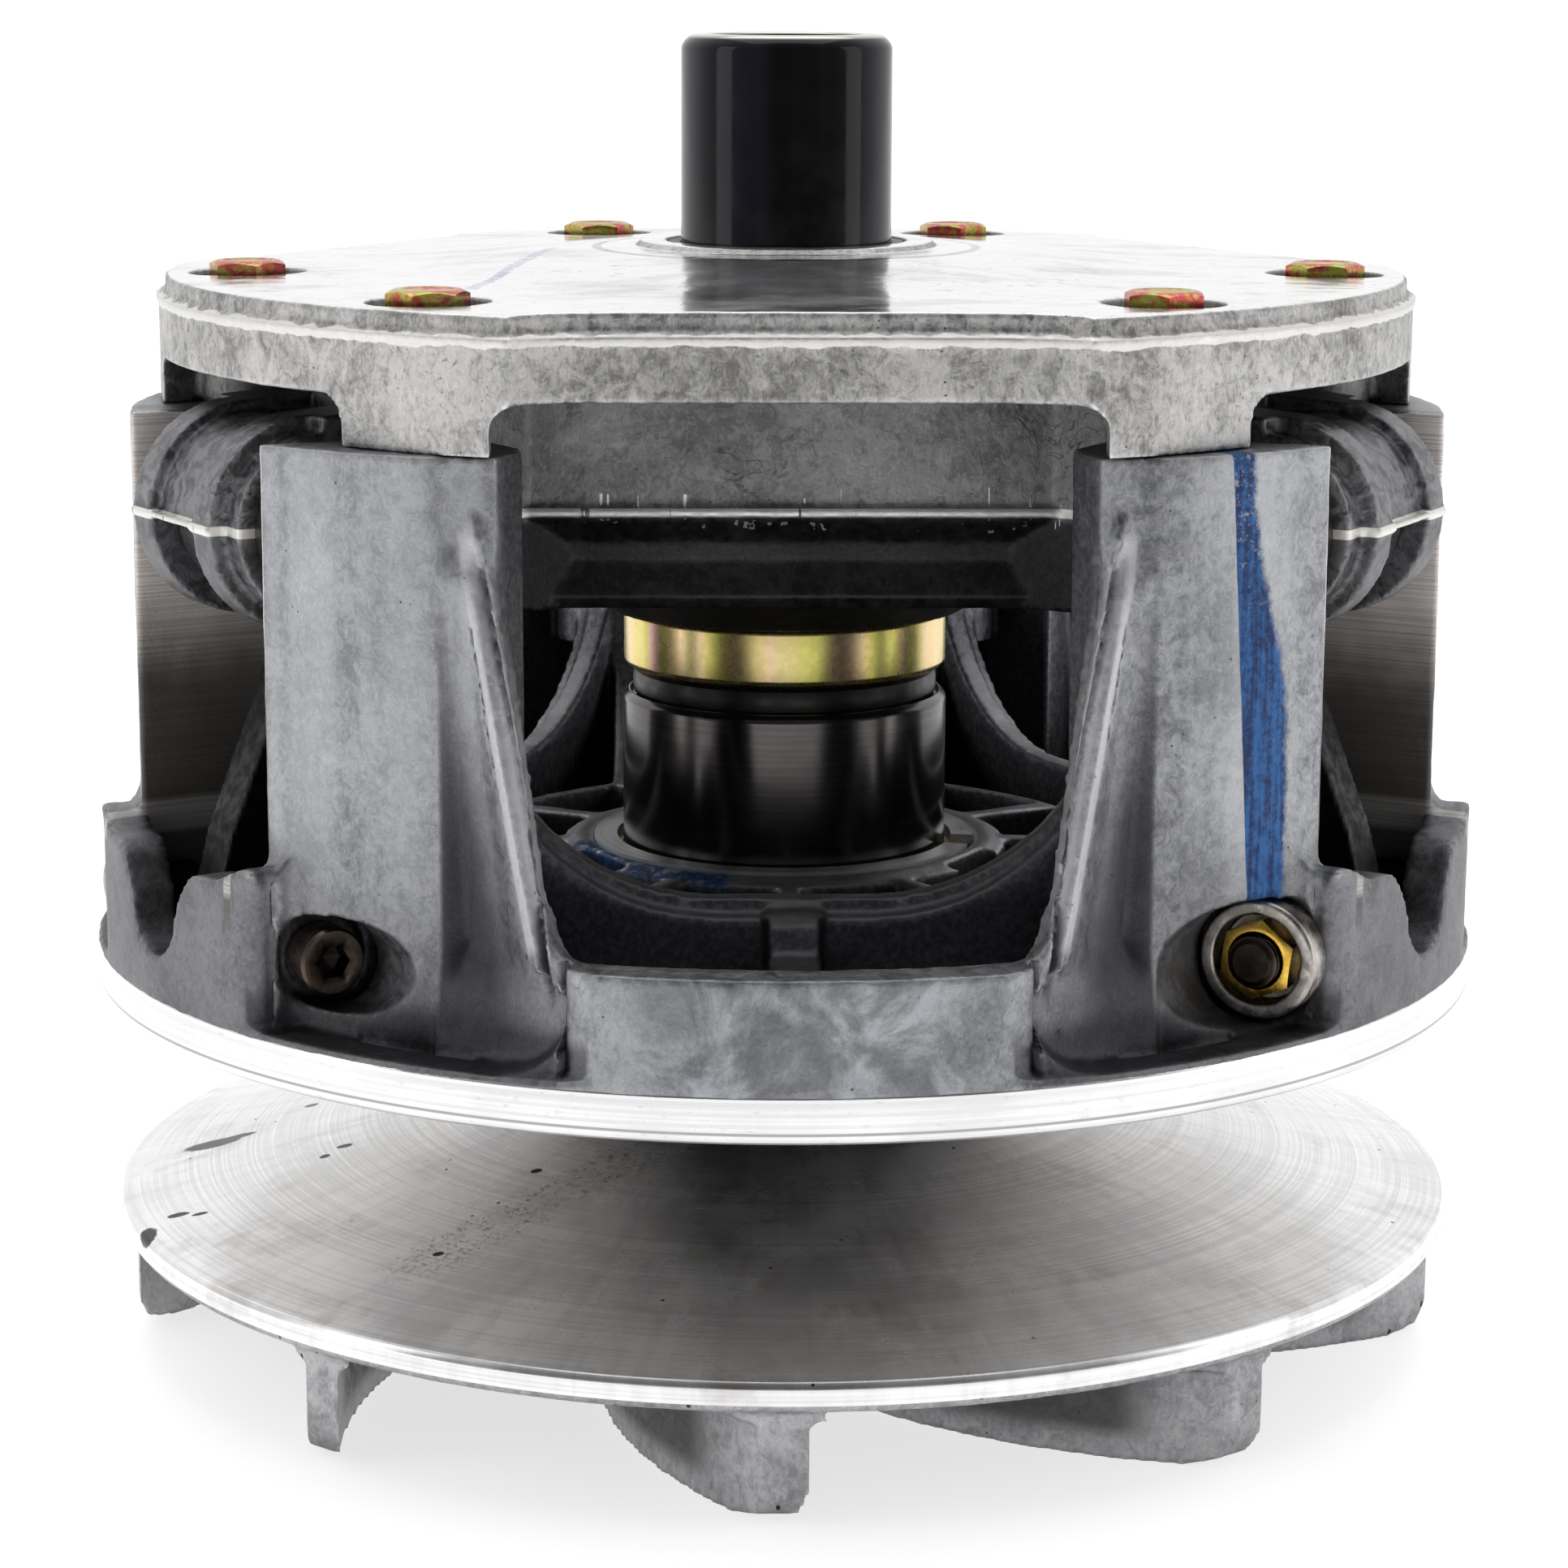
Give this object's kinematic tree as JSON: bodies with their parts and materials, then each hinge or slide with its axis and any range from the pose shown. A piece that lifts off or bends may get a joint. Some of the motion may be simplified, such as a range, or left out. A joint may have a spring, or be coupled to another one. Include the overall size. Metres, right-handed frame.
{
  "type": "drive clutch for a variable belt transmission",
  "caption": "Drive clutch of a continuously variable transmission: a finned fixed sheave and a sliding sheave with roller spider, flyweights, spring and bolted cover.",
  "frame": {"origin": "on the shaft axis, in the plane of the fin tips that the part stands on", "axes": "+Z along the shaft from the crank side to the cover; -Y through the middle of one window between the towers"},
  "size_m": [0.2298, 0.2298, 0.2133],
  "materials": {
    "cast_sheave": "as-cast aluminium with machined rim, belt face and slot faces",
    "turned_sheave": "turned aluminium belt face over cast fins",
    "bright_casting": "bright cast aluminium, top face polished by handling",
    "spider_casting": "dark as-cast aluminium with trimmed flash",
    "black_steel": "gloss black shaft coating",
    "ground_steel": "ground dark steel",
    "dark_steel": "oiled dark steel",
    "bright_steel": "bright steel",
    "yellow_zinc": "iridescent yellow zinc plate",
    "black_rubber": "black nitrile",
    "black_plastic": "black bearing plastic",
    "bronze": "sintered bronze",
    "blue_spring": "blue painted spring wire",
    "hard_steel": "hardened ground steel"
  },
  "bodies": {
    "fixed": {"fixed_sheave": "turned_sheave", "post": "black_steel", "sleeve": "ground_steel", "o_ring": "black_rubber", "collar": "yellow_zinc", "spider": "spider_casting", "jam_nut": "dark_steel", "primary_spring": "blue_spring", "roller_pins": "hard_steel", "thrust_washers": "bronze", "spider_buttons": "black_plastic"},
    "moving": {"moving_sheave": "cast_sheave", "sheave_bush": "bronze", "retaining_ring": "bright_steel", "cover": "bright_casting", "cover_bush": "black_plastic", "cover_bolts": "yellow_zinc", "weight_pins": "dark_steel", "nut_cups": "dark_steel", "weight_nuts": "yellow_zinc"},
    "roller_1": {"roller_1": "hard_steel", "roller_bush_1": "bronze"},
    "flyweight_1": {"flyweight_1": "hard_steel", "weight_bush_1": "bronze"},
    "roller_2": {"roller_2": "hard_steel", "roller_bush_2": "bronze"},
    "flyweight_2": {"flyweight_2": "hard_steel", "weight_bush_2": "bronze"},
    "roller_3": {"roller_3": "hard_steel", "roller_bush_3": "bronze"},
    "flyweight_3": {"flyweight_3": "hard_steel", "weight_bush_3": "bronze"}
  },
  "joints": [
    {"name": "shift", "type": "slide", "parent": "fixed", "child": "moving", "axis": [0, 0, 1], "range_m": [0, 0.033], "deforming": ["primary_spring"]},
    {"name": "roller_1_spin", "type": "hinge", "parent": "fixed", "child": "roller_1", "pos_m": [0.08054, -0.0465, 0.141], "axis": [0.5, 0.866, 0], "continuous": true},
    {"name": "flyweight_1_swing", "type": "hinge", "parent": "moving", "child": "flyweight_1", "pos_m": [0.08652, -0.04995, 0.0778], "axis": [-0.5, -0.866, 0], "range_deg": [0, 72.5]},
    {"name": "roller_2_spin", "type": "hinge", "parent": "fixed", "child": "roller_2", "pos_m": [0, 0.093, 0.141], "axis": [-1, 0, 0], "continuous": true},
    {"name": "flyweight_2_swing", "type": "hinge", "parent": "moving", "child": "flyweight_2", "pos_m": [0, 0.0999, 0.0778], "axis": [1, 0, 0], "range_deg": [0, 72.5]},
    {"name": "roller_3_spin", "type": "hinge", "parent": "fixed", "child": "roller_3", "pos_m": [-0.08054, -0.0465, 0.141], "axis": [0.5, -0.866, 0], "continuous": true},
    {"name": "flyweight_3_swing", "type": "hinge", "parent": "moving", "child": "flyweight_3", "pos_m": [-0.08652, -0.04995, 0.0778], "axis": [-0.5, 0.866, 0], "range_deg": [0, 72.5]}
  ],
  "couplings": [
    {"joint": "flyweight_1_swing", "follows": "shift", "rad_per_m": 38.08},
    {"joint": "flyweight_2_swing", "follows": "shift", "rad_per_m": 38.08},
    {"joint": "flyweight_3_swing", "follows": "shift", "rad_per_m": 38.08}
  ]
}
